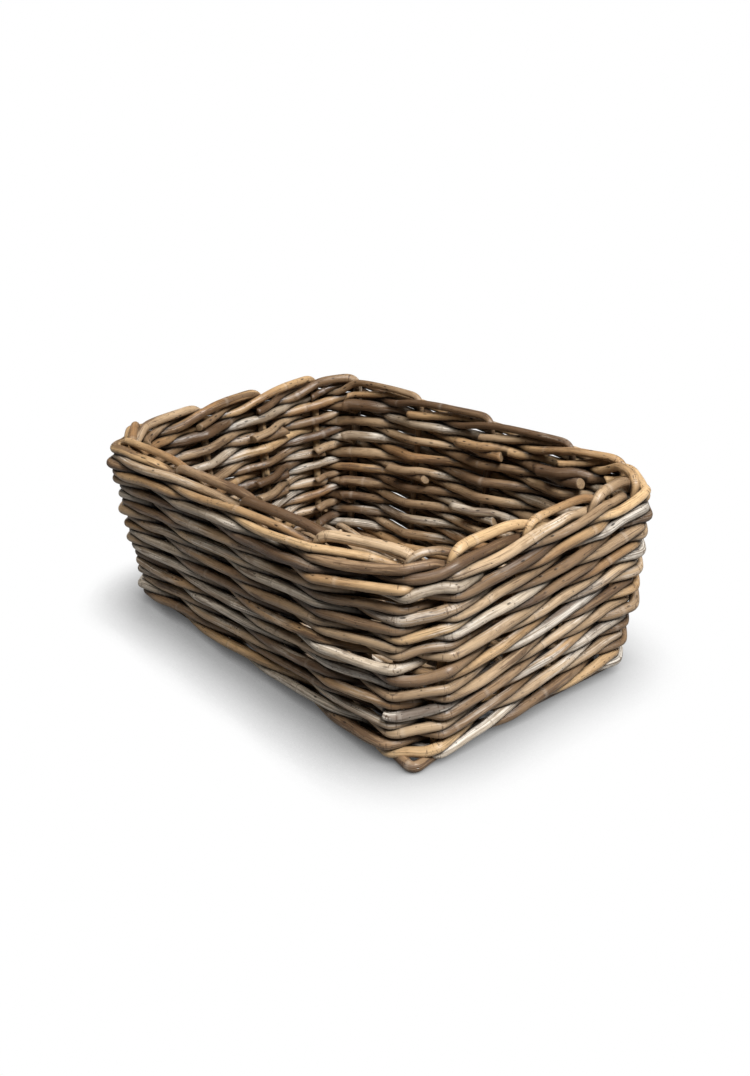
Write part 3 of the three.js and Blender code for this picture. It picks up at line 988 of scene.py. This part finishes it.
# The frame kept much bark, and its dark tone is partly painted shade, where it lies low by the ground.
FRAME_LOOK = {"tone": 1.0, "silver": 0.1, "bark": 0.55}
FREE_WAVES = (240, 0.02)  # length, and size as a share of the radius


def free_rod(points, thickness, look, gap, softenings, sides):
    """A rod off the wall: its outward direction is up, and -1 says that it has no stake number."""
    points = np.asarray(points, float)
    blank = np.zeros(len(points))
    rows = np.column_stack([points, blank, blank, blank + 1, blank - 1, blank, points[:, 2]])
    path = even_path(rows, gap, softenings)
    along = np.arange(len(path)) * gap
    radius = thickness / 2 * (1 + drift(along, *FREE_WAVES))
    return rod_surface(path, radius, look, sides)


foot_plan = stake_plan(WALL_FOOT)
half_x = foot_plan[:, 0].max()
half_y = foot_plan[:, 1].max()
tip_x = half_x + FRAME_TIP
tip_y = half_y + FRAME_TIP
cut_corner = np.array([(half_x, half_y - FRAME_CUT), (half_x - FRAME_CUT, half_y)])
tip_corner = np.array([
    (half_x, half_y - FRAME_TIP_RUN),
    (tip_x, tip_y - FRAME_TIP_CUT),
    (tip_x - FRAME_TIP_CUT, tip_y),
    (half_x - FRAME_TIP_RUN, half_y),
])
left_corners = np.concatenate([cut_corner[::-1] * [-1, 1], cut_corner * [-1, -1]])
right_corners = np.concatenate([tip_corner[::-1] * [1, -1], cut_corner])
back_middle = [(0, half_y)]
frame_points = np.concatenate([back_middle, left_corners, right_corners, back_middle])
corner_at = distances(frame_points)
# A point every few millimetres, and one at each corner, where the rod turns sharply. Its ends nearly meet.
between = np.arange(0, corner_at[-1] - 1, FRAME_GAP)
frame_at = np.unique(np.round(np.concatenate([corner_at[:-1], between]), 2))
frame_path = np.column_stack([np.interp(frame_at, corner_at, column) for column in frame_points.T])
frame_path = np.column_stack([frame_path, np.full(len(frame_path), FRAME_ROD / 2 + FRAME_LIFT)])
surface = free_rod(frame_path, FRAME_ROD, FRAME_LOOK, gap=2.0, softenings=2, sides=SIDES)
finish_piece("base_frame", [surface])
print("the frame is", round(corner_at[-1]), "mm long")

# %% The base sticks
STICK_POINTS = 24
STICK_WAVES = (160, 0.5)
sticks = []
for i in range(LONG_WALL_STAKES + 2):
    name = f"base_stick_{i + 1}"
    low, high = (np.array(corner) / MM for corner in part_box(name))
    x, _, stick_height = (low + high) / 2
    sticks.append(x)
    y = np.linspace(low[1], high[1], STICK_POINTS)
    points = np.column_stack([x + drift(y, *STICK_WAVES), y, np.full(len(y), stick_height)])
    finish_piece(name, [free_rod(points, STICK, look_for(name), gap=4.0, softenings=1, sides=12)])
print("sticks at", np.round(sticks).astype(int).tolist(), "mm along the base")

# %% The floor rods
WEAVERS = 3
ROWS = 11
ROW_PITCH = 8.0
half_row = ROW_PITCH / 2
OVER_STICK = (STICK + FLOOR_ROD) / 2 + 0.2
FROM_FRAME = (FRAME_ROD + FLOOR_ROD) / 2 + 0.3
row_end = half_x - FROM_FRAME
corner_sum = half_x + half_y - FRAME_CUT - np.sqrt(2) * FROM_FRAME


def reach(y):
    """How far a row reaches from the middle. By the cut corners it stops sooner."""
    return min(row_end, corner_sum - abs(y) - half_row)


for weaver in range(WEAVERS):
    points = []
    for row in range(weaver * ROWS, (weaver + 1) * ROWS):
        way = -1 if row % 2 else 1
        y = (row - (WEAVERS * ROWS - 1) / 2) * ROW_PITCH
        before = -way * (reach(y - half_row) - half_row)
        after = way * (reach(y + half_row) - half_row)
        points.append((before, y, stick_height))
        for n, x in enumerate(sticks[::way]):
            points.append((x, y, stick_height + (OVER_STICK if (row + n) % 2 else -OVER_STICK)))
        points.append((after, y, stick_height))
        if row < (weaver + 1) * ROWS - 1:
            points.append((after + way * half_row, y + half_row, stick_height))
    name = f"base_weaver_{weaver + 1}"
    finish_piece(name, [free_rod(points, FLOOR_ROD, look_for(name), gap=5.0, softenings=1, sides=10)])
print("the base has a frame,", len(sticks), "sticks and", WEAVERS * ROWS, "rows of floor")

# %% [markdown]
# ## Floor, light and camera
#
# The basket stands on a pale floor under soft studio light: one large lamp from the right and above, a weak
# one over it, two for the walls that the camera doesn't see, and a pale room. The room is bright only for
# the camera, so the background is white while the shadows between the rods stay deep. For the camera the
# floor glows white with a painted shadow: it darkens where the basket hides much of the sky, more so on the
# side away from the light.

# %% The floor
floor_mesh = bpy.data.meshes.new("floor")
floor_mesh.from_pydata([(-6, -6, 0), (6, -6, 0), (6, 6, 0), (-6, 6, 0)], [], [(0, 1, 2, 3)])
floor = bpy.data.objects.new("floor", floor_mesh)
bpy.context.scene.collection.objects.link(floor)
f = Finish(bpy.data.materials.new("pale floor"))
SHADOW_REACH = 0.075  # metres, how far from the basket its soft shadow ends
SHADOW_DEPTH = 1.35
# Painted shadow: for the camera the floor glows white, dimmed by occlusion round the basket from a
# hemisphere tilted towards the key lamp; the lamps' own shadows don't show on it.
toward_light = f.add("CombineXYZ", {0: 0.3, 1: 0.2, 2: 0.93})
shade = {"Distance": SHADOW_REACH, "Normal": toward_light}
open_sky = f.add("AmbientOcclusion", shade, "AO", samples=12)
seen = f.add("LightPath", {}, "Is Camera Ray")
light = open_sky.math("POWER", SHADOW_DEPTH)
painted_shadow_paper = f.add("Emission", {"Color": (1, 1, 1, 1), "Strength": light})
matt = f.add("BsdfDiffuse", {"Color": (0.25, 0.25, 0.25, 1)})
surface = f.add("MixShader", {0: seen, 1: matt, 2: painted_shadow_paper})
f.add("OutputMaterial", {"Surface": surface})
floor_mesh.materials.append(f.owner)

# %% The room
ROOM_LIGHT = 0.03  # what the room gives the basket, where 1 is what the camera sees of it
room = Finish(bpy.data.worlds.new("room"))
seen = room.add("LightPath", {}, "Is Camera Ray")
light = room.add("MapRange", {"Value": seen, "To Min": ROOM_LIGHT, "To Max": 1.0})
background = room.add("Background", {"Color": (1, 1, 1, 1), "Strength": light})
room.add("OutputWorld", {"Surface": background})
bpy.context.scene.world = room.owner

# %% The lamps
AIM = (0, 0, 0.1)


def lamp(name, place, size, power, colour=(1, 1, 1), mirrored=True):
    """A square lamp that looks at the middle of the basket, and may leave no glints on it."""
    light = bpy.data.lights.new(name, "AREA")
    light.size = size
    light.energy = power
    light.color = colour
    holder = bpy.data.objects.new(name, light)
    holder.location = place
    holder.rotation_euler = (Vector(place) - Vector(AIM)).to_track_quat("Z", "Y").to_euler()
    holder.visible_glossy = mirrored
    bpy.context.scene.collection.objects.link(holder)


lamp("key", (1.6, -0.2, 2.3), size=0.8, power=118)
lamp("top", (-0.5, -0.9, 2.2), size=0.8, power=20.5, colour=(1, 0.92, 0.8))
lamp("left", (-2.1, 0.5, 0.7), size=1.0, power=22, mirrored=False)
lamp("rear", (-0.3, 2.1, 0.7), size=1.0, power=22, mirrored=False)
print(len(bpy.data.lights), "lamps")

# %% The camera
CAMERA_PLACE = (0.86969, -0.68758, 0.58927)
AZIMUTH, ELEVATION, ROLL = np.radians([52.7, 24.6, -2.4])
camera = bpy.data.cameras.new("camera")
camera.lens = 39.14
camera.sensor_width = 36
camera.shift_x = 0.0271
camera.shift_y = 0.0149
view = bpy.data.objects.new("camera", camera)
bpy.context.scene.collection.objects.link(view)
turned = Matrix.Rotation(AZIMUTH, 4, "Z") @ Matrix.Rotation(np.pi / 2 - ELEVATION, 4, "X")
view.matrix_world = Matrix.Translation(CAMERA_PLACE) @ turned @ Matrix.Rotation(ROLL, 4, "Z")
bpy.context.scene.camera = view
bpy.context.scene.view_settings.view_transform = "Standard"
print("the camera stands at", CAMERA_PLACE)
